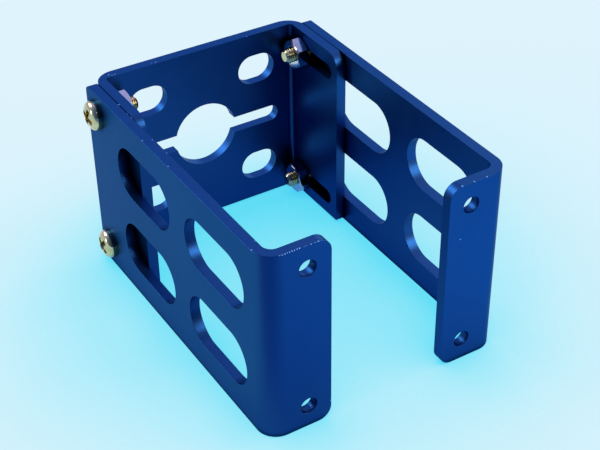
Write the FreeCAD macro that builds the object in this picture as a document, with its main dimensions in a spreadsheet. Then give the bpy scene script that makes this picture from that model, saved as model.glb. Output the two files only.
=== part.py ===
import FreeCAD, Part
import math
import os
import Sketcher
from FreeCAD import Placement, Rotation, Vector

# A device holder bolted together from three folded aluminium plates: a back channel and two
# mirror-image arms on the outside of its flanges, clamped by four machine screws and hex nuts.
# X runs across the holder, Y from the arms' front flanges to the back, Z up. The origin lies on
# the surface that the holder stands on, in the middle of its width and of its depth.
# Lengths are in millimetres, angles in degrees.

SIZES = (
    # The sheet that all three plates are folded from
    ("sheet_thickness", "2"),
    # Arms: a long plate with a flange folded inward at its front end
    ("arm_height", "38"),
    ("arm_length", "63.5"),
    ("arm_bend_radius", "1.75"),
    ("arm_rear_corner_radius", "1.25"),
    ("front_flange_width", "12.5"),
    ("front_flange_corner_radius", "2.5"),
    ("front_hole_diameter", "3.2"),
    ("front_hole_from_free_edge", "4.45"),
    ("front_hole_from_side_edge", "4.5"),
    # Windows of an arm, in rows and columns, given by the walls left around and between them
    ("window_front_wall", "6.5"),
    ("window_rear_wall", "11.5"),
    ("window_side_wall", "5.5"),
    ("window_upright_bar", "5.5"),
    ("window_level_bar", "6"),
    # Back channel: a web with a flange folded forward at each side
    ("channel_width", "44"),
    ("channel_depth", "18.5"),
    ("channel_height", "37.5"),
    ("channel_outer_radius", "4"),
    ("channel_inner_radius", "0.7"),
    ("channel_flange_corner_radius", "3"),
    ("web_stands_behind_arms", "2"),
    # Openings of the web
    ("bore_diameter", "13.3"),
    ("side_slot_height", "3.4"),
    ("side_slot_end_wall", "3.5"),
    ("corner_hole_length", "8"),
    ("corner_hole_height", "6.1"),
    ("corner_hole_end_wall", "4.2"),
    ("corner_hole_side_wall", "4.55"),
    # Adjusting slots of the channel's flanges and plain holes of the arms, round the screws
    ("screw_from_side_edge", "4.5"),
    ("slot_clearance", "0.2"),
    ("slot_front_wall", "2"),
    ("slot_travel_behind_screw", "0.25"),
    ("arm_hole_clearance", "0.4"),
    # Machine screws
    ("screw_diameter", "3"),
    ("screw_length", "8"),
    ("screw_point_chamfer", "0.4"),
    ("head_diameter", "5.6"),
    ("head_height", "2"),
    ("head_side_height", "0.8"),
    ("recess_span", "3"),
    ("recess_wing_width", "0.8"),
    ("recess_depth", "1.2"),
    # Hex nuts
    ("nut_across_flats", "5.5"),
    ("nut_height", "2.4"),
    ("nut_thread_clearance", "0.1"),
    ("nut_face_inset", "0.15"),
    ("nut_chamfer_angle", "30"),
    ("nut_web_clearance", "0.62"),
    # How far each nut and each cross recess is turned about its screw
    ("left_upper_nut_turn", "22"),
    ("left_lower_nut_turn", "14"),
    ("right_upper_nut_turn", "32"),
    ("right_lower_nut_turn", "52.5"),
    ("left_upper_recess_turn", "20"),
    ("left_lower_recess_turn", "40"),
    ("right_upper_recess_turn", "65"),
    ("right_lower_recess_turn", "10"),
)

doc = FreeCAD.newDocument("DeviceHolder")
sheet = doc.addObject("Spreadsheet::Sheet", "Sizes")
for row, (alias, number) in enumerate(SIZES, start=1):
    sheet.set("A%d" % row, alias)
    sheet.set("B%d" % row, number)
    sheet.setAlias("B%d" % row, alias)
doc.recompute()


def size(expression):
    """The number that an expression over the sheet gives, for a sketch's first layout."""
    return float(sheet.evalExpression(expression))


# Places that several pieces share, as expressions over the sheet
HALF_DEPTH = "(Sizes.arm_length + Sizes.web_stands_behind_arms) / 2"
CHANNEL_BASE = "(Sizes.arm_height - Sizes.channel_height)"
ARM_FACE = "(Sizes.channel_width / 2 + Sizes.sheet_thickness)"
NUT_SEAT = "(Sizes.channel_width / 2 - Sizes.sheet_thickness)"
NUT_REACH = "Sizes.nut_across_flats / sqrt(3)"
# The screws stand in front of the web's outer face by the web, the nut's corner and a clearance
SCREW_TO_WEB = "(Sizes.sheet_thickness + " + NUT_REACH + " + Sizes.nut_web_clearance)"
SCREW_PITCH = "(Sizes.arm_height - 2 * Sizes.screw_from_side_edge)"
SCREW_Y = "(" + HALF_DEPTH + " - " + SCREW_TO_WEB + ")"


def body_at(name, x, y, z, rotation=Rotation()):
    """A body whose label names its file and whose place is bound to the sheet."""
    body = doc.addObject("PartDesign::Body", name)
    body.Label = name
    body.Placement = Placement(Vector(size(x), size(y), size(z)), rotation)
    body.setExpression("Placement.Base.x", x)
    body.setExpression("Placement.Base.y", y)
    body.setExpression("Placement.Base.z", z)
    return body


def sketch_on(body, name, role):
    sketch = body.newObject("Sketcher::SketchObject", name)
    for feature in body.Origin.OriginFeatures:
        if feature.Role == role:
            sketch.AttachmentSupport = [(feature, "")]
    sketch.MapMode = "FlatFace"
    return sketch


def dimension(sketch, name, kind, references, expression):
    """A named dimension of a sketch, bound to the sheet."""
    number = size(expression)
    if kind == "Angle":
        number = math.radians(number)
        expression = "(" + expression + ") * 1 deg"
    index = sketch.addConstraint(Sketcher.Constraint(kind, *references, number))
    sketch.renameConstraint(index, name)
    sketch.setExpression("Constraints." + name, expression)


def tie(sketch, kind, *references):
    sketch.addConstraint(Sketcher.Constraint(kind, *references))


def line(sketch, start, end):
    return sketch.addGeometry(Part.LineSegment(Vector(*start, 0), Vector(*end, 0)), False)


def arc(sketch, centre, radius, start_angle, end_angle):
    circle = Part.Circle(Vector(*centre, 0), Vector(0, 0, 1), radius)
    return sketch.addGeometry(
        Part.ArcOfCircle(circle, math.radians(start_angle), math.radians(end_angle)), False)


def closed_lines(sketch, points):
    """Straight lines from point to point and back to the first."""
    lines = []
    for start, end in zip(points, points[1:] + points[:1]):
        lines.append(line(sketch, start, end))
    for first, second in zip(lines, lines[1:] + lines[:1]):
        tie(sketch, "Coincident", first, 2, second, 1)
    return lines


def obround(sketch, x, y, length, height):
    """A level slot with full round ends. x is the low end's tip, y the centre line."""
    tip = size(x)
    middle = size(y)
    radius = size(height) / 2
    low = tip + radius
    high = tip + size(length) - radius
    low_end = arc(sketch, (low, middle), radius, 90, 270)
    high_end = arc(sketch, (high, middle), radius, -90, 90)
    top = line(sketch, (high, middle + radius), (low, middle + radius))
    bottom = line(sketch, (low, middle - radius), (high, middle - radius))
    tie(sketch, "Tangent", low_end, 1, top, 2)
    tie(sketch, "Tangent", low_end, 2, bottom, 1)
    tie(sketch, "Tangent", high_end, 1, bottom, 2)
    tie(sketch, "Tangent", high_end, 2, top, 1)
    tie(sketch, "Horizontal", top)
    tie(sketch, "Horizontal", bottom)
    dimension(sketch, "end_radius", "Radius", (low_end,), height + " / 2")
    dimension(sketch, "low_centre", "DistanceX", (-1, 1, low_end, 3), x + " + " + height + " / 2")
    dimension(sketch, "run", "DistanceX", (low_end, 3, high_end, 3), length + " - " + height)
    dimension(sketch, "centre_line", "DistanceY", (-1, 1, low_end, 3), y)


def round_hole(sketch, x, y, diameter):
    circle = Part.Circle(Vector(size(x), size(y), 0), Vector(0, 0, 1), size(diameter) / 2)
    index = sketch.addGeometry(circle, False)
    dimension(sketch, "across", "Diameter", (index,), diameter)
    dimension(sketch, "centre_x", "DistanceX", (-1, 1, index, 3), x)
    dimension(sketch, "centre_y", "DistanceY", (-1, 1, index, 3), y)


def pad(body, name, profile, length):
    feature = body.newObject("PartDesign::Pad", name)
    feature.Profile = profile
    feature.setExpression("Length", length)
    doc.recompute()
    return feature


def pocket(body, name, profile, depth, reverse):
    feature = body.newObject("PartDesign::Pocket", name)
    feature.Profile = profile
    feature.Reversed = reverse
    feature.setExpression("Length", depth)
    doc.recompute()
    return feature


def turned(body, kind, name, profile):
    """A revolution or a groove, a full turn about the profile's horizontal axis."""
    feature = body.newObject("PartDesign::" + kind, name)
    feature.Profile = profile
    feature.ReferenceAxis = (profile, ["H_Axis"])
    feature.Angle = 360
    doc.recompute()


def pattern(body, name, original, sketch, along=None, up=None):
    """Two copies of a cut at a spacing along the sketch's own axes, or a two by two grid."""
    feature = body.newObject("PartDesign::LinearPattern", name)
    feature.Originals = [original]
    feature.Direction = (sketch, ["H_Axis" if along else "V_Axis"])
    feature.Occurrences = 2
    feature.setExpression("Length", along or up)
    if along and up:
        feature.Direction2 = (sketch, ["V_Axis"])
        feature.Occurrences2 = 2
        feature.setExpression("Length2", up)
    body.Tip = feature
    doc.recompute()


def edge_names(shape, wanted):
    names = []
    for number, edge in enumerate(shape.Edges, start=1):
        if wanted(edge):
            names.append("Edge%d" % number)
    return names


def rounded(body, name, base, wanted, radius):
    feature = body.newObject("PartDesign::Fillet", name)
    feature.Base = (base, edge_names(base.Shape, wanted))
    feature.setExpression("Radius", radius)
    doc.recompute()


def lies_at(edge, axis, position):
    """Whether a straight edge runs wholly in the plane at that position on that axis."""
    low = getattr(edge.BoundBox, axis + "Min")
    high = getattr(edge.BoundBox, axis + "Max")
    return abs(low - position) < 1e-4 and abs(high - position) < 1e-4


# Left arm. Its own origin is the outer corner of the bend at the lower edge: X into the holder,
# Y to the rear. The folded section is padded to the arm's height.
left_arm = body_at("left_arm", "-" + ARM_FACE, "-" + HALF_DEPTH, "0")
section = sketch_on(left_arm, "arm_section", "XY_Plane")
thickness = size("Sizes.sheet_thickness")
inner = size("Sizes.arm_bend_radius")
outer = inner + thickness
length = size("Sizes.arm_length")
flange = size("Sizes.front_flange_width")
outer_side = line(section, (0, length), (0, outer))
outer_bend = arc(section, (outer, outer), outer, 180, 270)
flange_front = line(section, (outer, 0), (flange, 0))
free_edge = line(section, (flange, 0), (flange, thickness))
flange_back = line(section, (flange, thickness), (outer, thickness))
inner_bend = arc(section, (outer, outer), inner, 180, 270)
inner_side = line(section, (thickness, outer), (thickness, length))
rear_edge = line(section, (thickness, length), (0, length))
tie(section, "Tangent", outer_side, 2, outer_bend, 1)
tie(section, "Tangent", outer_bend, 2, flange_front, 1)
tie(section, "Coincident", flange_front, 2, free_edge, 1)
tie(section, "Coincident", free_edge, 2, flange_back, 1)
tie(section, "Tangent", flange_back, 2, inner_bend, 2)
tie(section, "Tangent", inner_bend, 1, inner_side, 1)
tie(section, "Coincident", inner_side, 2, rear_edge, 1)
tie(section, "Coincident", rear_edge, 2, outer_side, 1)
tie(section, "Coincident", inner_bend, 3, outer_bend, 3)
for upright in (outer_side, free_edge, inner_side):
    tie(section, "Vertical", upright)
for level in (flange_front, flange_back, rear_edge):
    tie(section, "Horizontal", level)
tie(section, "PointOnObject", outer_side, 1, -2)
tie(section, "PointOnObject", flange_front, 2, -1)
dimension(section, "length", "DistanceY", (-1, 1, outer_side, 1), "Sizes.arm_length")
dimension(section, "flange", "DistanceX", (-1, 1, flange_front, 2), "Sizes.front_flange_width")
dimension(section, "gauge", "DistanceY", (free_edge, 1, free_edge, 2), "Sizes.sheet_thickness")
dimension(section, "bend", "Radius", (inner_bend,), "Sizes.arm_bend_radius")
folded = pad(left_arm, "arm_plate", section, "Sizes.arm_height")

# The flange's two free corners are rounded, and more tightly the two at the rear end
rounded(
    left_arm, "arm_flange_corners", folded,
    lambda edge: lies_at(edge, "X", flange) and (
        lies_at(edge, "Z", 0) or lies_at(edge, "Z", size("Sizes.arm_height"))),
    "Sizes.front_flange_corner_radius")
rounded(
    left_arm, "arm_rear_corners", left_arm.Tip,
    lambda edge: lies_at(edge, "Y", length) and (
        lies_at(edge, "Z", 0) or lies_at(edge, "Z", size("Sizes.arm_height"))),
    "Sizes.arm_rear_corner_radius")

# Windows, two by two, with the walls around and between them kept
WINDOW_LENGTH = ("((Sizes.arm_length - Sizes.window_front_wall - Sizes.window_rear_wall"
                 " - Sizes.window_upright_bar) / 2)")
WINDOW_HEIGHT = "((Sizes.arm_height - 2 * Sizes.window_side_wall - Sizes.window_level_bar) / 2)"
window_sketch = sketch_on(left_arm, "window_outline", "YZ_Plane")
obround(window_sketch, "Sizes.window_front_wall", "Sizes.window_side_wall + " + WINDOW_HEIGHT + " / 2",
        WINDOW_LENGTH, WINDOW_HEIGHT)
window = pocket(left_arm, "window", window_sketch, "Sizes.sheet_thickness", True)
pattern(
    left_arm, "windows", window, window_sketch,
    along=WINDOW_LENGTH + " + Sizes.window_upright_bar",
    up=WINDOW_HEIGHT + " + Sizes.window_level_bar")

# Two holes in the folded flange
front_hole_sketch = sketch_on(left_arm, "front_hole_outline", "XZ_Plane")
round_hole(front_hole_sketch, "Sizes.front_flange_width - Sizes.front_hole_from_free_edge",
           "Sizes.front_hole_from_side_edge", "Sizes.front_hole_diameter")
front_hole = pocket(left_arm, "front_hole", front_hole_sketch, "Sizes.sheet_thickness", False)
pattern(left_arm, "front_holes", front_hole, front_hole_sketch,
        up="Sizes.arm_height - 2 * Sizes.front_hole_from_side_edge")

# Two clearance holes for the screws near the rear end
screw_hole_sketch = sketch_on(left_arm, "screw_hole_outline", "YZ_Plane")
round_hole(screw_hole_sketch,
           "Sizes.arm_length + Sizes.web_stands_behind_arms - " + SCREW_TO_WEB,
           "Sizes.screw_from_side_edge", "Sizes.screw_diameter + Sizes.arm_hole_clearance")
screw_hole = pocket(left_arm, "screw_hole", screw_hole_sketch, "Sizes.sheet_thickness", True)
pattern(left_arm, "screw_holes", screw_hole, screw_hole_sketch, up=SCREW_PITCH)

# Right arm, the left arm's mirror image
right_arm = doc.addObject("Part::Mirroring", "right_arm")
right_arm.Label = "right_arm"
right_arm.Source = left_arm
right_arm.Normal = Vector(1, 0, 0)
right_arm.Base = Vector(0, 0, 0)

# Back channel. Its own origin is the middle of the web's outer face at the lower edge.
back_channel = body_at("back_channel", "0", HALF_DEPTH, CHANNEL_BASE)
section = sketch_on(back_channel, "channel_section", "XY_Plane")
side = size("Sizes.channel_width / 2")
depth = size("Sizes.channel_depth")
outer = size("Sizes.channel_outer_radius")
inner = size("Sizes.channel_inner_radius")
inside = side - thickness
root = thickness + inner
left_side = line(section, (-side, -depth), (-side, -outer))
left_bend = arc(section, (outer - side, -outer), outer, 90, 180)
web_back = line(section, (outer - side, 0), (side - outer, 0))
right_bend = arc(section, (side - outer, -outer), outer, 0, 90)
right_side = line(section, (side, -outer), (side, -depth))
right_edge = line(section, (side, -depth), (inside, -depth))
right_inside = line(section, (inside, -depth), (inside, -root))
right_root = arc(section, (inside - inner, -root), inner, 0, 90)
web_front = line(section, (inside - inner, -thickness), (inner - inside, -thickness))
left_root = arc(section, (inner - inside, -root), inner, 90, 180)
left_inside = line(section, (-inside, -root), (-inside, -depth))
left_edge = line(section, (-inside, -depth), (-side, -depth))
tie(section, "Tangent", left_side, 2, left_bend, 2)
tie(section, "Tangent", left_bend, 1, web_back, 1)
tie(section, "Tangent", web_back, 2, right_bend, 2)
tie(section, "Tangent", right_bend, 1, right_side, 1)
tie(section, "Coincident", right_side, 2, right_edge, 1)
tie(section, "Coincident", right_edge, 2, right_inside, 1)
tie(section, "Tangent", right_inside, 2, right_root, 1)
tie(section, "Tangent", right_root, 2, web_front, 1)
tie(section, "Tangent", web_front, 2, left_root, 1)
tie(section, "Tangent", left_root, 2, left_inside, 1)
tie(section, "Coincident", left_inside, 2, left_edge, 1)
tie(section, "Coincident", left_edge, 2, left_side, 1)
for upright in (left_side, right_side, right_inside, left_inside):
    tie(section, "Vertical", upright)
for level in (web_back, right_edge, web_front, left_edge):
    tie(section, "Horizontal", level)
tie(section, "PointOnObject", web_back, 1, -1)
tie(section, "Equal", left_bend, right_bend)
tie(section, "Equal", left_root, right_root)
tie(section, "Equal", left_edge, right_edge)
tie(section, "Symmetric", left_side, 1, right_side, 2, -2)
dimension(section, "width", "DistanceX", (left_side, 1, right_side, 2), "Sizes.channel_width")
dimension(section, "depth", "DistanceY", (right_side, 2, -1, 1), "Sizes.channel_depth")
dimension(section, "flange_gauge", "DistanceX", (left_side, 1, left_edge, 1),
          "Sizes.sheet_thickness")
dimension(section, "web_gauge", "DistanceY", (web_front, 1, web_back, 2), "Sizes.sheet_thickness")
dimension(section, "outer_radius", "Radius", (left_bend,), "Sizes.channel_outer_radius")
dimension(section, "inner_radius", "Radius", (left_root,), "Sizes.channel_inner_radius")
folded = pad(back_channel, "channel_plate", section, "Sizes.channel_height")

# The flanges' upper front corners are rounded, the lower ones square
rounded(
    back_channel, "channel_flange_corners", folded,
    lambda edge: lies_at(edge, "Y", -depth) and lies_at(edge, "Z", size("Sizes.channel_height")),
    "Sizes.channel_flange_corner_radius")

# Round bore in the middle of the web, with a slot running out from it to both sides
bore_sketch = sketch_on(back_channel, "bore_outline", "XZ_Plane")
bore_circle = bore_sketch.addGeometry(
    Part.Circle(Vector(0, size("Sizes.channel_height / 2"), 0), Vector(0, 0, 1),
                size("Sizes.bore_diameter / 2")), False)
tie(bore_sketch, "PointOnObject", bore_circle, 3, -2)
dimension(bore_sketch, "across", "Diameter", (bore_circle,), "Sizes.bore_diameter")
dimension(bore_sketch, "middle", "DistanceY", (-1, 1, bore_circle, 3), "Sizes.channel_height / 2")
pocket(back_channel, "bore", bore_sketch, "Sizes.sheet_thickness", True)
WEB_INSIDE = "(Sizes.channel_width - 2 * Sizes.sheet_thickness)"
side_slot_sketch = sketch_on(back_channel, "side_slot_outline", "XZ_Plane")
obround(side_slot_sketch, "Sizes.side_slot_end_wall - " + WEB_INSIDE + " / 2",
        "Sizes.channel_height / 2", WEB_INSIDE + " - 2 * Sizes.side_slot_end_wall",
        "Sizes.side_slot_height")
pocket(back_channel, "side_slot", side_slot_sketch, "Sizes.sheet_thickness", True)

# Four short slotted holes round the bore
corner_hole_sketch = sketch_on(back_channel, "corner_hole_outline", "XZ_Plane")
obround(corner_hole_sketch, "Sizes.corner_hole_end_wall - " + WEB_INSIDE + " / 2",
        "Sizes.corner_hole_side_wall + Sizes.corner_hole_height / 2",
        "Sizes.corner_hole_length", "Sizes.corner_hole_height")
corner_hole = pocket(back_channel, "corner_hole", corner_hole_sketch, "Sizes.sheet_thickness",
                     True)
pattern(
    back_channel, "corner_holes", corner_hole, corner_hole_sketch,
    along=WEB_INSIDE + " - 2 * Sizes.corner_hole_end_wall - Sizes.corner_hole_length",
    up="Sizes.channel_height - 2 * Sizes.corner_hole_side_wall - Sizes.corner_hole_height")

# Adjusting slots through both flanges, from near the free edge to just behind the screws
SLOT_HEIGHT = "(Sizes.screw_diameter + Sizes.slot_clearance)"
SLOT_LENGTH = ("(Sizes.channel_depth - Sizes.slot_front_wall - " + SCREW_TO_WEB
               + " + Sizes.slot_travel_behind_screw + " + SLOT_HEIGHT + " / 2)")
slot_sketch = sketch_on(back_channel, "slot_outline", "YZ_Plane")
obround(slot_sketch, "Sizes.slot_front_wall - Sizes.channel_depth",
        "Sizes.screw_from_side_edge - " + CHANNEL_BASE, SLOT_LENGTH, SLOT_HEIGHT)
slot = back_channel.newObject("PartDesign::Pocket", "slot")
slot.Profile = slot_sketch
slot.SideType = "Symmetric"
slot.setExpression("Length", "Sizes.channel_width")
doc.recompute()
pattern(back_channel, "slots", slot, slot_sketch, up=SCREW_PITCH)


# A pan-head machine screw. Its own origin is under the head: X along the shank.
def machine_screw(name, x, z, rotation):
    body = body_at(name, x, SCREW_Y, z, rotation)
    profile = sketch_on(body, name + "_profile", "XY_Plane")
    shank = size("Sizes.screw_diameter / 2")
    head = size("Sizes.head_diameter / 2")
    end = size("Sizes.screw_length")
    bevel = size("Sizes.screw_point_chamfer")
    top = size("Sizes.head_height")
    rim = size("Sizes.head_side_height")
    axis = line(profile, (-top, 0), (end, 0))
    point = line(profile, (end, 0), (end, shank - bevel))
    chamfer = line(profile, (end, shank - bevel), (end - bevel, shank))
    thread = line(profile, (end - bevel, shank), (0, shank))
    seat = line(profile, (0, shank), (0, head))
    head_side = line(profile, (0, head), (-rim, head))
    dome_rise = top - rim
    dome_radius = (head * head + dome_rise * dome_rise) / (2 * dome_rise)
    spread = math.degrees(math.asin(head / dome_radius))
    dome = arc(profile, (dome_radius - top, 0), dome_radius, 180 - spread, 180)
    for first, second in zip((axis, point, chamfer, thread, seat),
                             (point, chamfer, thread, seat, head_side)):
        tie(profile, "Coincident", first, 2, second, 1)
    tie(profile, "Coincident", head_side, 2, dome, 1)
    tie(profile, "Coincident", dome, 2, axis, 1)
    tie(profile, "PointOnObject", axis, 1, -1)
    tie(profile, "PointOnObject", axis, 2, -1)
    tie(profile, "PointOnObject", dome, 3, -1)
    for upright in (point, seat):
        tie(profile, "Vertical", upright)
    for level in (thread, head_side):
        tie(profile, "Horizontal", level)
    tie(profile, "PointOnObject", seat, 1, -2)
    dimension(profile, "under_head", "DistanceX", (-1, 1, axis, 2), "Sizes.screw_length")
    dimension(profile, "head_top", "DistanceX", (axis, 1, -1, 1), "Sizes.head_height")
    dimension(profile, "head_rim", "DistanceX", (head_side, 2, head_side, 1),
              "Sizes.head_side_height")
    dimension(profile, "head_radius", "DistanceY", (-1, 1, seat, 2), "Sizes.head_diameter / 2")
    dimension(profile, "shank_radius", "DistanceY", (-1, 1, thread, 2),
              "Sizes.screw_diameter / 2")
    dimension(profile, "point_length", "DistanceX", (chamfer, 2, chamfer, 1),
              "Sizes.screw_point_chamfer")
    dimension(profile, "point_depth", "DistanceY", (chamfer, 1, chamfer, 2),
              "Sizes.screw_point_chamfer")
    turned(body, "Revolution", name + "_blank", profile)

    # The cross recess: two wings across each other, sunk from the top of the head
    for wing, offset in (("wing", "0"), ("cross_wing", "90")):
        outline = sketch_on(body, name + "_" + wing + "_outline", "YZ_Plane")
        outline.AttachmentOffset = Placement(
            Vector(0, 0, -size("Sizes.head_height")), Rotation(Vector(0, 0, 1), 0))
        outline.setExpression("AttachmentOffset.Base.z", "-Sizes.head_height")
        outline.setExpression("AttachmentOffset.Rotation.Angle",
                              "Sizes." + name.replace("_screw", "_recess_turn") + " + " + offset)
        half_span = size("Sizes.recess_span / 2")
        half_width = size("Sizes.recess_wing_width / 2")
        low, right, high, left = closed_lines(outline, [
            (-half_span, -half_width), (half_span, -half_width),
            (half_span, half_width), (-half_span, half_width)])
        tie(outline, "Horizontal", low)
        tie(outline, "Horizontal", high)
        tie(outline, "Vertical", right)
        tie(outline, "Vertical", left)
        tie(outline, "Symmetric", low, 1, high, 1, -1, 1)
        dimension(outline, "span", "DistanceX", (low, 1, low, 2), "Sizes.recess_span")
        dimension(outline, "width", "DistanceY", (right, 1, right, 2), "Sizes.recess_wing_width")
        pocket(body, name + "_" + wing, outline, "Sizes.recess_depth", True)
    return body


# A hex nut, chamfered at the corners on both faces. Its own origin is the middle of the face
# that seats on the channel's flange: X away from that face.
def hex_nut(name, x, z, rotation):
    body = body_at(name, x, SCREW_Y, z, rotation)
    outline = sketch_on(body, name + "_outline", "YZ_Plane")
    corner = size(NUT_REACH)
    turn = size("Sizes." + name + "_turn")
    points = []
    for step in range(6):
        angle = math.radians(turn + 60 * step)
        points.append((corner * math.cos(angle), corner * math.sin(angle)))
    sides = closed_lines(outline, points)
    rim = outline.addGeometry(Part.Circle(Vector(0, 0, 0), Vector(0, 0, 1), corner), True)
    hole = outline.addGeometry(
        Part.Circle(Vector(0, 0, 0), Vector(0, 0, 1), size("Sizes.screw_diameter") / 2), False)
    tie(outline, "Coincident", rim, 3, -1, 1)
    tie(outline, "Coincident", hole, 3, -1, 1)
    for flat in sides:
        tie(outline, "PointOnObject", flat, 1, rim)
    for flat in sides[1:]:
        tie(outline, "Equal", sides[0], flat)
    spoke = outline.addGeometry(
        Part.LineSegment(Vector(0, 0, 0), Vector(points[0][0], points[0][1], 0)), True)
    tie(outline, "Coincident", spoke, 1, -1, 1)
    tie(outline, "Coincident", spoke, 2, sides[0], 1)
    dimension(outline, "turn", "Angle", (-1, 1, spoke, 1), "Sizes." + name + "_turn")
    dimension(outline, "corner_radius", "Radius", (rim,), NUT_REACH)
    dimension(outline, "hole", "Diameter", (hole,),
              "Sizes.screw_diameter + Sizes.nut_thread_clearance")
    pad(body, name + "_blank", outline, "Sizes.nut_height")

    bevel_sketch = sketch_on(body, name + "_bevel_profile", "XY_Plane")
    face_radius = size("Sizes.nut_across_flats / 2 - Sizes.nut_face_inset")
    reach = corner + size("Sizes.nut_face_inset")
    run = (reach - face_radius) * math.tan(math.radians(size("Sizes.nut_chamfer_angle")))
    height = size("Sizes.nut_height")
    for end, face, away in (("seat", 0, run), ("outer", height, height - run)):
        slant, cap, back = closed_lines(
            bevel_sketch, [(face, face_radius), (away, reach), (face, reach)])
        tie(bevel_sketch, "Horizontal", cap)
        tie(bevel_sketch, "Vertical", back)
        dimension(bevel_sketch, end + "_start", "DistanceY", (-1, 1, slant, 1),
                  "Sizes.nut_across_flats / 2 - Sizes.nut_face_inset")
        dimension(bevel_sketch, end + "_reach", "DistanceY", (-1, 1, cap, 1),
                  NUT_REACH + " + Sizes.nut_face_inset")
        if end == "seat":
            tie(bevel_sketch, "PointOnObject", slant, 1, -2)
            dimension(bevel_sketch, end + "_run", "DistanceX", (back, 1, slant, 2),
                      "(" + NUT_REACH + " + 2 * Sizes.nut_face_inset - Sizes.nut_across_flats / 2)"
                      " * tan(Sizes.nut_chamfer_angle * 1 deg)")
        else:
            dimension(bevel_sketch, end + "_face", "DistanceX", (-1, 1, slant, 1),
                      "Sizes.nut_height")
            dimension(bevel_sketch, end + "_run", "DistanceX", (slant, 2, back, 1),
                      "(" + NUT_REACH + " + 2 * Sizes.nut_face_inset - Sizes.nut_across_flats / 2)"
                      " * tan(Sizes.nut_chamfer_angle * 1 deg)")
    turned(body, "Groove", name + "_bevels", bevel_sketch)
    return body


# Fasteners: at each side an upper and a lower screw, pushed in through the arm and the
# channel's flange, with its nut drawn up against the inside of the flange
UPPER = "Sizes.arm_height - Sizes.screw_from_side_edge"
LOWER = "Sizes.screw_from_side_edge"
pieces = [left_arm, right_arm, back_channel]
for hand, sign, rotation in (("left", "-", Rotation(Vector(0, 0, 1), 0)),
                             ("right", "", Rotation(Vector(0, 0, 1), 180))):
    for level, height_expression in (("upper", UPPER), ("lower", LOWER)):
        place = hand + "_" + level
        pieces.append(
            machine_screw(place + "_screw", sign + ARM_FACE, height_expression, rotation))
        pieces.append(hex_nut(place + "_nut", sign + NUT_SEAT, height_expression, rotation))

doc.recompute()

# Nothing is written unless every feature worked, every cut removed material and every piece is
# one sound solid
for item in doc.Objects:
    if "Invalid" in item.State or "Error" in item.State:
        raise RuntimeError("%s failed: %s" % (item.Name, item.State))
    if item.TypeId == "Sketcher::SketchObject" and not item.FullyConstrained:
        raise RuntimeError("%s is not fully constrained" % item.Name)
    if item.TypeId in ("PartDesign::Pocket", "PartDesign::Groove"):
        if item.Shape.Volume > item.BaseFeature.Shape.Volume - 1e-3:
            raise RuntimeError("%s removed nothing" % item.Name)
for piece in pieces:
    if piece.Shape.isNull() or not piece.Shape.isValid() or len(piece.Shape.Solids) != 1:
        raise RuntimeError("%s is not one sound solid" % piece.Label)

os.makedirs("parts", exist_ok=True)
for piece in pieces:
    piece.Shape.exportStep("parts/" + piece.Label + ".step")
    box = piece.Shape.BoundBox
    print("%-18s %8.2f mm3  X %.2f..%.2f  Y %.2f..%.2f  Z %.2f..%.2f" % (
        piece.Label, piece.Shape.Volume, box.XMin, box.XMax, box.YMin, box.YMax,
        box.ZMin, box.ZMax))
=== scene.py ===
import functools
import math

import bmesh
import bpy
from mathutils import Matrix, Vector


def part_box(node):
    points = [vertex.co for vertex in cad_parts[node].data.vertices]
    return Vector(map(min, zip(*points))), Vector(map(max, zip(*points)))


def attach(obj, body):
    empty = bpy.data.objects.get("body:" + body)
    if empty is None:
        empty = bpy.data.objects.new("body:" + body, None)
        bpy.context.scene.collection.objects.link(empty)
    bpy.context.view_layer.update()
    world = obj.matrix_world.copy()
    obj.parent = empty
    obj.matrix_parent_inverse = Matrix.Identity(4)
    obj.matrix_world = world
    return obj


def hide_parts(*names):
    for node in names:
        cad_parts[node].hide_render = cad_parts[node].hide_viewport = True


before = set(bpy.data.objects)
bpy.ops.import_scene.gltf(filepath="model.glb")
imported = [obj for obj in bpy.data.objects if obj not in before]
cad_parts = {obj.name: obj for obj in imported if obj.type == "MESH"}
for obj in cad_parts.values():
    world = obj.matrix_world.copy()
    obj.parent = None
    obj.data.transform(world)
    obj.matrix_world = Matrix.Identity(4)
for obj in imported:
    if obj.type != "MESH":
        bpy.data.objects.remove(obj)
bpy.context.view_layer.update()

# ---------------------------------------------------------------------------------------------
# Back channel. One strip of 2 mm aluminium with its two ends folded forward, then bored, slotted,
# tumbled until every edge is just rounded, and anodised a deep satin blue. The arms bolt to the
# outside of its flanges.
# ---------------------------------------------------------------------------------------------


class Number:
    """An output of a node graph that can be reckoned with as plain arithmetic."""

    def __init__(self, graph, socket):
        self.graph = graph
        self.socket = socket

    def reckon(self, operation, first, second=0.0):
        return self.graph.reckon(operation, first, second)

    def __add__(self, other):
        return self.reckon("ADD", self, other)

    def __sub__(self, other):
        return self.reckon("SUBTRACT", self, other)

    def __mul__(self, other):
        return self.reckon("MULTIPLY", self, other)

    def __truediv__(self, other):
        return self.reckon("DIVIDE", self, other)

    def __lt__(self, other):
        return self.reckon("LESS_THAN", self, other)

    def __gt__(self, other):
        return self.reckon("GREATER_THAN", self, other)

    def __rsub__(self, other):
        return self.reckon("SUBTRACT", other, self)

    __radd__ = __add__
    __rmul__ = __mul__

    def largest(self, other):
        return self.reckon("MAXIMUM", self, other)

    def smallest(self, other):
        return self.reckon("MINIMUM", self, other)


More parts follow.
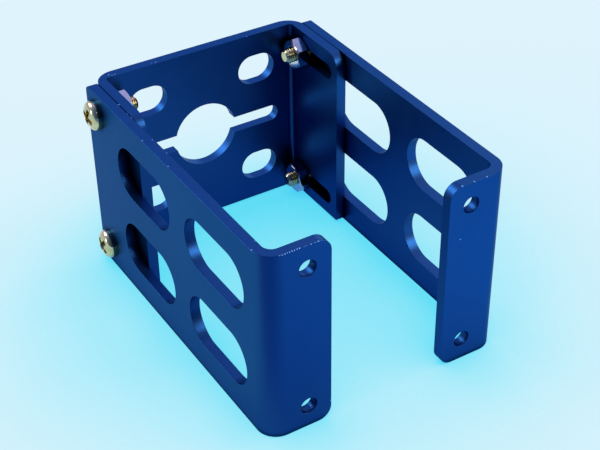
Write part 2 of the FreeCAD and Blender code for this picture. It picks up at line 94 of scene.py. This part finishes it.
class Graph:
    """A node tree, whether of a finish or of a shape, that nodes are added to one by one."""

    def __init__(self, tree):
        self.tree = tree

    def add(self, kind, settings=None, values=(), output=0):
        node = self.tree.nodes.new(kind)
        for name, setting in (settings or {}).items():
            if name == "stops":
                ramp = node.color_ramp
                while len(ramp.elements) < len(setting):
                    ramp.elements.new(0.5)
                for element, (position, colour) in zip(ramp.elements, setting):
                    element.position = position
                    element.color = (*colour, 1.0)
            else:
                setattr(node, name, setting)
        pairs = values.items() if isinstance(values, dict) else enumerate(values)
        for key, given in pairs:
            if isinstance(given, Number):
                self.tree.links.new(given.socket, node.inputs[key])
            else:
                node.inputs[key].default_value = given
        return Number(self, node.outputs[output])

    def reckon(self, operation, first, second=0.0):
        return self.add("ShaderNodeMath", {"operation": operation}, (first, second))

    def parts(self, vector, axes):
        """The vector's numbers along each of the named axes."""
        return [self.add("ShaderNodeSeparateXYZ", values=(vector,), output=axis)
                for axis in axes]

    def blend(self, share, first, second):
        """The first colour where the share is 0, the second where it is 1."""
        return self.add("ShaderNodeMix", {"data_type": "RGBA"},
                        {0: share, 6: first, 7: second}, output=2)

    def ramp(self, value, *stops):
        return self.add("ShaderNodeValToRGB", {"stops": stops}, {"Fac": value})

    def spread(self, value, low, high, to_low=0.0, to_high=1.0, curve="LINEAR"):
        """The value carried from one range to another and held inside it."""
        return self.add("ShaderNodeMapRange", {"interpolation_type": curve}, {
            "Value": value, "From Min": low, "From Max": high, "To Min": to_low,
            "To Max": to_high})


class Finish(Graph):
    """A procedural surface. Its shader's own values are set with the names of the sockets."""

    def __init__(self, name, **constants):
        self.material = bpy.data.materials.new(name)
        self.material.use_nodes = True
        super().__init__(self.material.node_tree)
        self.shader = self.tree.nodes["Principled BSDF"]
        for socket, given in constants.items():
            self.shader.inputs[socket.replace("_", " ")].default_value = given
        self.place = self.add("ShaderNodeTexCoord", output="Object")

    def noise(self, size, detail=3.0, roughness=0.5):
        """Noise whose blotches are about that many metres across."""
        return self.add("ShaderNodeTexNoise", values={
            "Vector": self.place, "Scale": 1.0 / size, "Detail": detail,
            "Roughness": roughness})

    def openness(self, reach, samples=8):
        """1 in the open, and less the more of its surroundings lies within that reach."""
        return self.add("ShaderNodeAmbientOcclusion", {"samples": samples},
                        {"Distance": reach}, output="AO")

    def feed(self, socket, value):
        self.tree.links.new(value.socket, self.shader.inputs[socket])

    def grain(self, height, distance):
        self.feed("Normal", self.add("ShaderNodeBump", values={
            "Strength": 1.0, "Distance": distance, "Height": height}, output="Normal"))


# Where the arms' inner faces lie on the channel's flanges: either side of the middle, and back
# from the flanges' front edges
JOINT_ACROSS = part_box("back_channel")[1][0]
JOINT_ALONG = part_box("back_channel")[0][1]
DEEP_BLUE = (0.0110, 0.062, 0.200, 1)
PALER_BLUE = (0.0135, 0.072, 0.226, 1)
# Painted shade along the rounded edges
EDGE_SHADE_BLUE = (0.003, 0.020, 0.075, 1)
WORN_BLUE = (0.12, 0.32, 0.60, 1)
BARE_METAL = (0.16, 0.38, 0.68, 1)
# Painted shade in hollows, and the dark line of the joint between the plates' tops
DARK_JOINT_AND_SHADE = (0.001, 0.004, 0.014, 1)


def anodised_blue(name, chips):
    """Satin blue anodising. chips are the places where an edge is worn through to bare metal:
    x, y, z and width in millimetres."""
    # The dye lies over the metal, so even a glancing reflection stays blue
    finish = Finish(name, Metallic=1.0, Specular_Tint=(0.47, 0.55, 0.69, 1))
    tone = finish.noise(0.022, detail=2.0)
    cloud = finish.noise(0.0045, detail=4.0, roughness=0.6)
    speck = finish.noise(0.00035, detail=2.0)
    shade = finish.spread(tone * 0.65 + cloud * 0.35, 0.32, 0.68)
    dye_and_painted_shade = finish.blend(shade, DEEP_BLUE, PALER_BLUE)

    # Painted shade: the colour darkens where plates meet, in inner corners and under the nuts,
    # where little light reaches
    dye_and_painted_shade = finish.blend(finish.spread(finish.openness(0.0016), 0.48, 0.90), DARK_JOINT_AND_SHADE, dye_and_painted_shade)

    # A thin dark line marks the joint between the tops of the arms and of the channel's flanges
    across, along = finish.parts(finish.place, "XY")
    from_joint = finish.reckon("ABSOLUTE", finish.reckon("ABSOLUTE", across) - JOINT_ACROSS)
    joint = (1 - finish.spread(from_joint, 0.00008, 0.00020)) * (along > JOINT_ALONG)
    dye_and_painted_shade = finish.blend(joint * 0.8, dye_and_painted_shade, DARK_JOINT_AND_SHADE)

    # Painted shade: the rounded edges are darkened in patches, standing in for the thin shadows
    # along them. They are also worn in flecks
    edge = finish.add("ShaderNodeAttribute", {"attribute_name": "edge"}, output="Fac")
    edge_shade_gaps = finish.spread(finish.noise(0.0012, detail=3.0), 0.42, 0.72)
    dye_and_painted_shade = finish.blend(edge * (1 - edge_shade_gaps) * 0.6, dye_and_painted_shade, EDGE_SHADE_BLUE)
    fleck = finish.noise(0.00040, detail=1.0) > 0.70
    dye_and_painted_shade = finish.blend(edge * fleck * 0.5, dye_and_painted_shade, WORN_BLUE)

    # Chips through to the metal, each with a ragged outline
    ragged = finish.noise(0.00025, detail=2.0) * 1.6 + 0.2
    spots = []
    for x, y, z, width in chips:
        away = finish.add("ShaderNodeVectorMath", {"operation": "DISTANCE"},
                          (finish.place, (x / 1000, y / 1000, z / 1000)), output="Value")
        spots.append(away < ragged * (width / 2000))
    bare = functools.reduce(Number.largest, spots)
    finish.feed("Base Color", finish.blend(bare, dye_and_painted_shade, BARE_METAL))
    finish.feed("Roughness", finish.spread(cloud * 0.6 + speck * 0.4, 0.3, 0.7, 0.31, 0.42))
    finish.grain(speck * 0.55 + cloud * 0.25 + tone * 3.0, 0.000012)
    return finish.material


WELD = 1e-6                        # points nearer than this are one point
SAME_FLAT = math.radians(0.4)      # faces that turn less than this are one flat
SHARP = math.radians(35)           # edges that turn more than this are rounded over
ROUNDING = 0.00011                 # how far the tumbling reaches in from a sharp edge


def tumbled_plate(node):
    """A copy of a plate's solid with its sharp edges rounded over. The middle of each rounding is
    marked in the attribute that the finish reads its edge wear and its painted edge shade from."""
    plate = bmesh.new()
    plate.from_mesh(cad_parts[node].data)
    bmesh.ops.remove_doubles(plate, verts=plate.verts, dist=WELD)
    bmesh.ops.dissolve_limit(plate, angle_limit=SAME_FLAT, verts=plate.verts,
                             edges=plate.edges)
    sharp = [edge for edge in plate.edges
             if len(edge.link_faces) == 2 and edge.calc_face_angle() > SHARP]
    rounded = bmesh.ops.bevel(plate, geom=sharp, offset=ROUNDING, offset_type="OFFSET",
                              segments=2, profile=0.5, affect="EDGES", clamp_overlap=True)
    new_faces = set(rounded["faces"])
    mark = plate.verts.layers.float.new("edge")
    for vertex in plate.verts:
        vertex[mark] = 1.0 if all(face in new_faces for face in vertex.link_faces) else 0.0
    for face in plate.faces:
        face.smooth = True
    mesh = bpy.data.meshes.new(node + "_tumbled")
    plate.to_mesh(mesh)
    plate.free()
    piece = bpy.data.objects.new(node + "_tumbled", mesh)
    bpy.context.scene.collection.objects.link(piece)

    # Flat faces keep their own direction, and the roundings turn smoothly between them
    weighted = piece.modifiers.new("flats", "WEIGHTED_NORMAL")
    weighted.weight = 50
    weighted.keep_sharp = False
    bpy.context.view_layer.update()
    settled = bpy.data.meshes.new_from_object(
        piece.evaluated_get(bpy.context.evaluated_depsgraph_get()))
    piece.modifiers.clear()
    piece.data = settled
    return piece


def fit_plate(node, chips):
    """Puts the tumbled and anodised plate in the place of its solid."""
    piece = tumbled_plate(node)
    piece.data.materials.clear()
    piece.data.materials.append(anodised_blue(node + "_anodising", chips))
    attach(piece, "root")
    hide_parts(node)


TOP = 38.0                         # the plates' top edges, in millimetres as all chips are
FOLD = -32.65                      # the front edge of the tops of the arms' folded flanges

# Where its edges are worn bright, along the top of the web and of the left flange
fit_plate("back_channel", [
    (-18.9, 31.6, TOP, 0.34), (-18.4, 31.2, TOP, 0.26), (-17.8, 31.2, TOP, 0.30),
    (-10.3, 31.3, TOP, 0.22), (-9.4, 31.2, TOP, 0.30), (7.5, 32.6, TOP, 0.24),
    (8.8, 32.5, TOP, 0.20), (10.0, 30.8, TOP, 0.26), (-21.9, 20.9, TOP, 0.24),
    (-21.8, 16.0, TOP, 0.22)])

# ---------------------------------------------------------------------------------------------
# Left arm. A long windowed plate of the same sheet with its front end folded inward, drilled for
# the device and for the two screws that clamp it to the channel. Same anodising, a little worn.
# ---------------------------------------------------------------------------------------------
# Bright nicks along its top edges and at the free edge of its folded flange. Along the folded
# flange's top front edge they stand close in a row and make a bright line: partly wear, partly a
# painted highlight
fit_plate("left_arm", [
    (-22.1, 20.9, TOP, 0.26), (-22.0, 17.2, TOP, 0.30), (-22.1, 15.6, TOP, 0.24),
    (-23.8, 7.9, TOP, 0.26), (-22.3, 7.2, TOP, 0.22), (-22.1, 2.2, TOP, 0.24),
    (-21.9, 1.6, TOP, 0.20), (-23.8, -1.6, TOP, 0.26), (-22.2, -27.4, TOP, 0.22),
    (-23.8, -29.1, TOP, 0.34), (-16.2, FOLD, TOP, 0.16), (-15.3, FOLD, TOP, 0.18),
    (-14.6, FOLD, TOP, 0.16), (-14.0, FOLD, TOP, 0.24), (-13.4, FOLD, TOP, 0.16),
    (-11.5, -32.7, 26.9, 0.30), (-11.5, -32.7, 9.8, 0.26), (-11.6, -32.7, 3.5, 0.30),
    *[(-20.9 + 0.44 * step, FOLD, TOP, 0.20 + 0.03 * (step % 3)) for step in range(9)]])

# ---------------------------------------------------------------------------------------------
# Right arm. The mirror image of the left arm, from the same sheet and the same bath, clamped to
# the outside of the channel's right flange.
# ---------------------------------------------------------------------------------------------
# Bright nicks at the near edges of its windows and along the top of its folded flange
fit_plate("right_arm", [
    (22.0, 10.8, 22.6, 0.24), (22.0, 8.4, 22.5, 0.22), (22.0, -10.6, 22.7, 0.34),
    (22.0, -13.7, 22.4, 0.30), (13.8, -32.6, TOP, 0.34), (16.3, -32.6, TOP, 0.30),
    (18.9, -32.6, TOP, 0.26), (14.1, -32.8, 27.2, 0.26)])

# ---------------------------------------------------------------------------------------------
# Screws. Plated M3 machine screws with a pan head and a cross recess, pushed in from outside
# through each arm and a slot of the channel. Their rolled threads show past the nuts.
# ---------------------------------------------------------------------------------------------


CREASE = math.radians(24)          # edges that turn less than this shade as a curve


class Shape(Graph):
    """A geometry tree for a turned or milled part, in its own frame with its axis along z."""

    def __init__(self, name, **sizes):
        super().__init__(bpy.data.node_groups.new(name, "GeometryNodeTree"))
        for size in sizes:
            self.tree.interface.new_socket(size, in_out="INPUT", socket_type="NodeSocketFloat")
        self.tree.interface.new_socket("Geometry", in_out="OUTPUT",
                                       socket_type="NodeSocketGeometry")
        self.sizes = sizes
        given = self.tree.nodes.new("NodeGroupInput")
        for size in sizes:
            setattr(self, size, Number(self, given.outputs[size]))

    def surface(self, rows, columns, outline):
        """A surface turned about the axis. outline gives the radius and the height at a share
        of the way along it and at a share of the turn."""
        grid = self.add("GeometryNodeMeshGrid", values={
            "Size X": 1.0, "Size Y": 1.0, "Vertices X": rows, "Vertices Y": columns})
        way, turn = [share + 0.5 for share in
                     self.parts(self.add("GeometryNodeInputPosition"), "XY")]
        radius, height = outline(way, turn)
        angle = turn * math.tau
        return self.move(grid, radius * self.reckon("COSINE", angle),
                         radius * self.reckon("SINE", angle), height)

    def move(self, geometry, x, y, z):
        place = self.add("ShaderNodeCombineXYZ", values=(x, y, z))
        return self.add("GeometryNodeSetPosition", values={
            "Geometry": geometry, "Position": place})

    def lathe(self, stations, columns):
        """A closed solid turned from straight runs between stations of radius and height."""
        def outline(way, turn):
            row = self.reckon("ROUND", way * (len(stations) - 1))
            return [self.choose(row, [station[side] for station in stations])
                    for side in (0, 1)]
        return self.closed([self.surface(len(stations), columns + 1, outline)])

    def choose(self, index, numbers):
        node = self.tree.nodes.new("GeometryNodeIndexSwitch")
        node.data_type = "FLOAT"
        while len(node.index_switch_items) < len(numbers):
            node.index_switch_items.new()
        self.tree.links.new(index.socket, node.inputs["Index"])
        for position, number in enumerate(numbers):
            socket = node.inputs[position + 1]
            if isinstance(number, Number):
                self.tree.links.new(number.socket, socket)
            else:
                socket.default_value = number
        return Number(self, node.outputs[0])

    def closed(self, surfaces):
        joined = self.tree.nodes.new("GeometryNodeJoinGeometry")
        for piece in surfaces:
            self.tree.links.new(piece.socket, joined.inputs[0])
        return self.add("GeometryNodeMergeByDistance", values={
            "Geometry": Number(self, joined.outputs[0]), "Distance": 2 * WELD})

    def cut(self, operation, solid, tool):
        node = self.tree.nodes.new("GeometryNodeMeshBoolean")
        node.operation = operation
        node.solver = "EXACT"
        if operation == "DIFFERENCE":
            self.tree.links.new(solid.socket, node.inputs["Mesh 1"])
            self.tree.links.new(tool.socket, node.inputs["Mesh 2"])
        else:
            for part in (solid, tool):
                self.tree.links.new(part.socket, node.inputs["Mesh 2"])
        return Number(self, node.outputs["Mesh"])

    def place(self, solid, material):
        """Puts the finished solid where its sizes say, and gives it its finish."""
        turned = self.add("GeometryNodeTransform", values={
            "Geometry": solid,
            "Rotation": self.add("ShaderNodeCombineXYZ", values=(0.0, 0.0, self.turn))})
        placed = self.add("GeometryNodeTransform", values={
            "Geometry": turned,
            "Rotation": self.add("ShaderNodeCombineXYZ", values=(0.0, self.tip, 0.0)),
            "Translation": self.add("ShaderNodeCombineXYZ", values=(self.x, self.y, self.z))})
        real = self.add("GeometryNodeRealizeInstances", values={"Geometry": placed})
        finished = self.add("GeometryNodeSetMaterial", values={
            "Geometry": real, "Material": material})
        result = self.tree.nodes.new("NodeGroupOutput")
        self.tree.links.new(finished.socket, result.inputs[0])

    def make(self, name, **sizes):
        """One piece of this shape, as a plain mesh with its place in it."""
        piece = bpy.data.objects.new(name, bpy.data.meshes.new(name))
        bpy.context.scene.collection.objects.link(piece)
        maker = piece.modifiers.new("maker", "NODES")
        maker.node_group = self.tree
        for item in self.tree.interface.items_tree:
            if item.in_out == "INPUT":
                maker[item.identifier] = float({**self.sizes, **sizes}[item.name])
        bpy.context.view_layer.update()
        mesh = bpy.data.meshes.new_from_object(
            piece.evaluated_get(bpy.context.evaluated_depsgraph_get()))
        piece.modifiers.clear()
        piece.data = mesh
        skin = bmesh.new()
        skin.from_mesh(mesh)
        bmesh.ops.remove_doubles(skin, verts=skin.verts, dist=WELD)
        bmesh.ops.recalc_face_normals(skin, faces=skin.faces)
        for face in skin.faces:
            face.smooth = True
        for edge in skin.edges:
            edge.smooth = len(edge.link_faces) == 2 and edge.calc_face_angle() < CREASE
        skin.to_mesh(mesh)
        skin.free()
        return piece


screw_plating = Finish("screw_plating", Metallic=1.0)
passivated = screw_plating.ramp(
    screw_plating.noise(0.0011, detail=3.0),
    (0.30, (0.38, 0.35, 0.19)), (0.55, (0.46, 0.47, 0.29)), (0.78, (0.54, 0.55, 0.40)))
# Colour of the painted glint in the recesses
GOLDEN_GLINT = (0.60, 0.45, 0.20, 1)
# Painted reflection: where the screw is hemmed in, in the recess and under the head, it is
# coloured golden, standing in for the warm light bounced about there
screw_plating.feed("Base Color", screw_plating.blend(
    screw_plating.spread(screw_plating.openness(0.0030), 0.30, 0.86), GOLDEN_GLINT, passivated))
screw_plating.feed("Roughness", screw_plating.spread(
    screw_plating.noise(0.0006, detail=2.0), 0.3, 0.7, 0.06, 0.16))
screw_plating.grain(screw_plating.noise(0.0003, detail=2.0), 0.000004)

screw = Shape("pan_head_screw", length=0.008, thread=0.0015, pitch=0.0005, head=0.0028,
              side=0.0007, top=0.00195, x=0.0, y=0.0, z=0.0, turn=0.0, tip=0.0)
THREAD_DEPTH = 0.55                # as a share of the pitch
PLAIN_LENGTH = 0.0006              # under the head, and as much again while the thread deepens
POINT_STEP = 0.00052               # how much smaller the flat end's radius is than the thread's
DOME_SWELL = 0.72                  # below 1, the dome is fuller than half an ellipse
TURN_POINTS = 61                   # round the screw, with the first and the last in one place
THREAD_ROWS = 241
DOME_ROWS = 20
RECESS_SPAN = 0.0043               # of the block that cuts one pair of wings, at full size
RECESS_WING = 0.00130
RECESS_DEEP = 0.0026               # the block's height, half of it above the head
RECESS_FLOOR = 0.62                # share of that size at the block's lower face
RECESS_FLARE = 0.42                # share that it gains by its upper face


def threaded_shank(way, turn):
    height = (way - 1) * screw.length
    wave = screw.reckon("PINGPONG", height / screw.pitch + turn, 0.5) * 2
    run_out = ((0 - height - PLAIN_LENGTH) / PLAIN_LENGTH).largest(0).smallest(1)
    point = screw.thread - POINT_STEP + (height + screw.length)
    # The thread's crests and roots are a little flattened
    crest = (1.25 * wave - 0.1).largest(0).smallest(1)
    rolled = screw.thread - THREAD_DEPTH * screw.pitch * run_out * (1 - crest)
    return rolled.smallest(point), height


def domed_head(way, turn):
    angle = way * (math.pi / 2)
    level = screw.reckon("COSINE", angle).largest(0)
    return (screw.head * screw.reckon("POWER", level, DOME_SWELL),
            screw.side + (screw.top - screw.side) * screw.reckon("SINE", angle))


def flat_end(way, turn):
    return way * (screw.thread - POINT_STEP), 0 - screw.length


def under_head(way, turn):
    return screw.thread + way * (screw.head - screw.thread), 0.0


def head_side(way, turn):
    return screw.head, way * screw.side


blank = screw.closed([
    screw.surface(rows, TURN_POINTS, outline) for rows, outline in (
        (2, flat_end), (THREAD_ROWS, threaded_shank), (2, under_head), (3, head_side),
        (DOME_ROWS, domed_head))])
for wing in (0.0, math.pi / 2):
    block = screw.add("GeometryNodeMeshCube", values={"Size": (1.0, 1.0, 1.0)})
    along, across, up = screw.parts(screw.add("GeometryNodeInputPosition"), "XYZ")
    # Each wing narrows and shortens towards the bottom of the recess
    widening = RECESS_FLOOR + (up + 0.5) * RECESS_FLARE
    tool = screw.move(block, along * widening * RECESS_SPAN, across * widening * RECESS_WING,
                      screw.top + up * RECESS_DEEP)
    tool = screw.add("GeometryNodeTransform", values={
        "Geometry": tool, "Rotation": (0.0, 0.0, wing)})
    blank = screw.cut("DIFFERENCE", blank, tool)
screw.place(blank, screw_plating.material)

# How far the recess is turned from upright, as each screw happened to stop
for node, recess_turn in (("left_upper_screw", 20), ("left_lower_screw", 40),
                          ("right_upper_screw", 25), ("right_lower_screw", 80)):
    low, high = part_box(node)
    outward = -1 if node.startswith("left") else 1
    arm_low, arm_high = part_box(node.split("_")[0] + "_arm")
    piece = screw.make(node + "_plated", x=arm_low[0] if outward < 0 else arm_high[0],
                       y=(low[1] + high[1]) / 2, z=(low[2] + high[2]) / 2,
                       turn=math.radians(90 + outward * recess_turn),
                       tip=outward * math.pi / 2)
    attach(piece, "root")
    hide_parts(node)

# ---------------------------------------------------------------------------------------------
# Nuts. Zinc-plated M3 hex nuts, chamfered on both faces and countersunk at the thread, drawn up
# against the inside of the channel's flanges.
# ---------------------------------------------------------------------------------------------
nut_plating = Finish("nut_plating", Metallic=1.0)
nut_plating.feed("Base Color", nut_plating.ramp(
    nut_plating.noise(0.0012, detail=3.0),
    (0.30, (0.48, 0.54, 0.59)), (0.75, (0.66, 0.69, 0.72))))
nut_plating.feed("Roughness", nut_plating.spread(
    nut_plating.noise(0.0005, detail=2.0), 0.3, 0.7, 0.10, 0.20))
nut_plating.grain(nut_plating.noise(0.00025, detail=2.0), 0.000004)

nut = Shape("hex_nut", flats=0.0055, height=0.0024, bore=0.0031, x=0.0, y=0.0, z=0.0, turn=0.0,
            tip=0.0)
FACE_RING = 0.472                  # the flat ring's radius, as a share of the width across flats
CHAMFER_RUN = 0.0009               # outward from the flat ring, on past the hexagon's corners
CHAMFER_DROP = CHAMFER_RUN * math.tan(math.radians(30))
SINK_WIDE = 0.0005                 # how far the countersink's cone opens beyond the bore
SINK_DEEP = 0.0003
SINK_CLEAR = 0.0002                # how far the cone runs on past the nut's face

prism = nut.add("GeometryNodeMeshCylinder", values={
    "Vertices": 6, "Radius": nut.flats / math.sqrt(3), "Depth": nut.height})
ring = nut.flats * FACE_RING
lower, upper = nut.height * -0.5, nut.height * 0.5
chamfered = nut.cut("INTERSECT", prism, nut.lathe([
    (0.0, lower), (ring, lower), (ring + CHAMFER_RUN, lower + CHAMFER_DROP),
    (ring + CHAMFER_RUN, upper - CHAMFER_DROP), (ring, upper), (0.0, upper)], 96))
hole = nut.bore * 0.5
threaded = nut.cut("DIFFERENCE", chamfered, nut.lathe([
    (0.0, lower - SINK_CLEAR), (hole + SINK_WIDE, lower - SINK_CLEAR),
    (hole, lower + SINK_DEEP), (hole, upper - SINK_DEEP),
    (hole + SINK_WIDE, upper + SINK_CLEAR), (0.0, upper + SINK_CLEAR)], 64))
nut.place(threaded, nut_plating.material)

# Where a corner of each hexagon points, from level towards upright
for node, corner_turn in (("left_upper_nut", 22), ("left_lower_nut", 14),
                          ("right_upper_nut", 28), ("right_lower_nut", 7.5)):
    low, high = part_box(node)
    outward = -1 if node.startswith("left") else 1
    piece = nut.make(node + "_plated", x=(low[0] + high[0]) / 2, y=(low[1] + high[1]) / 2,
                     z=(low[2] + high[2]) / 2, height=high[0] - low[0],
                     turn=math.radians(90 + outward * corner_turn), tip=outward * math.pi / 2)
    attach(piece, "root")
    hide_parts(node)

# ---------------------------------------------------------------------------------------------
# Floor and light. A pale cyan sheet that deepens in colour where the holder keeps the light off
# it, under a broad soft sky.
# ---------------------------------------------------------------------------------------------
FLOOR_HALF = 3.0
FLOOR_LEVEL = -0.0001              # just clear of the plates' lower edges
PALE_CYAN = (0.74, 0.90, 0.98)
BEHIND = (0.90, 1.06, 1.12, 1)
FRONT_LEFT = (0.20, 0.38, 0.80, 1)
FRONT_RIGHT = (0.40, 0.95, 1.55, 1)
IN_BAY = (0.10, 0.38, 0.80, 1)
LEFT_OF_BAY = (0.50, 1.05, 1.08, 1)

floor_mesh = bpy.data.meshes.new("floor")
floor_mesh.from_pydata([
    (x * FLOOR_HALF, y * FLOOR_HALF, FLOOR_LEVEL)
    for x, y in ((-1, -1), (1, -1), (1, 1), (-1, 1))], [], [(0, 1, 2, 3)])
floor = bpy.data.objects.new("floor", floor_mesh)
bpy.context.scene.collection.objects.link(floor)

sheet = Finish("floor_sheet", Roughness=0.9)
open_sky = sheet.openness(0.12, samples=16)
across, along = sheet.parts(sheet.place, "XY")
# The colour under the holder is paler behind it to the right, and in front of it to the left
behind_right = sheet.spread(along, 0.028, 0.075) * sheet.spread(across, -0.06, 0.0, 0.4, 1.0)
front_left = sheet.spread(along, 0.0, -0.04) * sheet.spread(across, -0.01, -0.04)
lit = open_sky + (1 - open_sky) * (behind_right * 0.8 + front_left * 0.3)
seen = sheet.ramp(lit, (0.0, (0.06, 0.60, 0.88)), (0.35, (0.13, 0.745, 0.93)),
                  (0.80, (0.42, 0.842, 0.965)), (0.92, (0.63, 0.885, 0.975)),
                  (1.0, PALE_CYAN))
# What the metal sees of the floor: dim and blue in the bay, bluer in front than behind, and
# brightest before the right flange
in_front = sheet.spread(along, -0.015, -0.045)
to_right = sheet.spread(across, -0.040, 0.036)
open_floor = sheet.blend(in_front, BEHIND, sheet.blend(to_right, FRONT_LEFT, FRONT_RIGHT))
shaded_floor = sheet.blend(sheet.spread(across, -0.022, -0.030), IN_BAY, LEFT_OF_BAY)
reflected = sheet.blend(sheet.spread(open_sky, 0.35, 0.88), shaded_floor, open_floor)
seen_directly = sheet.add("ShaderNodeLightPath", output="Is Camera Ray")
seen_in_metal = sheet.add("ShaderNodeLightPath", output="Is Glossy Ray")
glow = sheet.add("ShaderNodeEmission", values={
    "Color": sheet.blend(seen_in_metal, seen, reflected)})
# The light that the floor throws back onto the holder
matt = sheet.add("ShaderNodeBsdfDiffuse", values={"Color": (0.55, 0.85, 0.92, 1)})
mixed = sheet.add("ShaderNodeMixShader", values=(
    seen_directly.largest(seen_in_metal), matt, glow))
sheet.tree.links.new(mixed.socket, sheet.tree.nodes["Material Output"].inputs["Surface"])
floor_mesh.materials.append(sheet.material)

# The sky is dim in front, lilac behind and warmer to the right, and plain where it shows itself
world = bpy.data.worlds.new("soft_sky")
world.use_nodes = True
bpy.context.scene.world = world
sky = Graph(world.node_tree)
rightward, behind = sky.parts(sky.add("ShaderNodeTexCoord", output="Generated"), "XY")
room = sky.ramp(behind * 0.5 + 0.5, (0.0, (0.05, 0.07, 0.12)), (0.35, (0.14, 0.19, 0.38)),
                (0.50, (0.30, 0.37, 0.75)), (0.75, (0.82, 0.68, 1.10)))
warm_side = sky.blend(sky.spread(rightward, 0.50, 0.62, curve="SMOOTHSTEP"), room,
                      (3.00, 1.60, 1.65, 1))
tint = sky.blend(sky.add("ShaderNodeLightPath", output="Is Camera Ray"), warm_side,
                 (*PALE_CYAN, 1))
sky.tree.links.new(tint.socket, sky.tree.nodes["Background"].inputs["Color"])

HOLDER_MIDDLE = Vector((0.0, 0.0, 0.02))


def soft_lamp(name, place, across, along, power):
    """A flat panel of light, turned to the middle of the holder."""
    light = bpy.data.lights.new(name, "AREA")
    light.shape = "RECTANGLE"
    light.size = across
    light.size_y = along
    light.energy = power
    lamp = bpy.data.objects.new(name, light)
    lamp.location = place
    lamp.rotation_euler = (HOLDER_MIDDLE - Vector(place)).to_track_quat("-Z", "Y").to_euler()
    bpy.context.scene.collection.objects.link(lamp)


soft_lamp("front_panel", (0.273, -0.442, 0.400), 0.36, 0.36, 1.8)
soft_lamp("left_panel", (-0.600, 0.200, 0.090), 0.12, 0.20, 0.3)
soft_lamp("back_panel", (-0.300, 0.416, 0.415), 0.36, 0.36, 1.8)

# ---------------------------------------------------------------------------------------------
# Camera. It looks down on the holder from its front left corner through a long lens, whose frame
# is shifted a little off the middle.
# ---------------------------------------------------------------------------------------------
camera = bpy.data.cameras.new("camera")
camera.sensor_width = 36.0
camera.lens = 82.21
camera.shift_x = -0.0319
camera.shift_y = 0.0212
camera.clip_start = 0.005
heading = math.radians(32.371)
down = math.radians(36.372)
roll = math.radians(-0.1635)
eye = Vector((-0.104597, -0.175864, 0.163441))
viewer = bpy.data.objects.new("camera", camera)
viewer.matrix_world = (
    Matrix.Translation(eye)
    @ Matrix.Rotation(-heading, 4, "Z")
    @ Matrix.Rotation(math.pi / 2 - down, 4, "X")
    @ Matrix.Rotation(roll, 4, "Z"))
bpy.context.scene.collection.objects.link(viewer)
bpy.context.scene.camera = viewer
bpy.context.scene.view_settings.view_transform = "Standard"
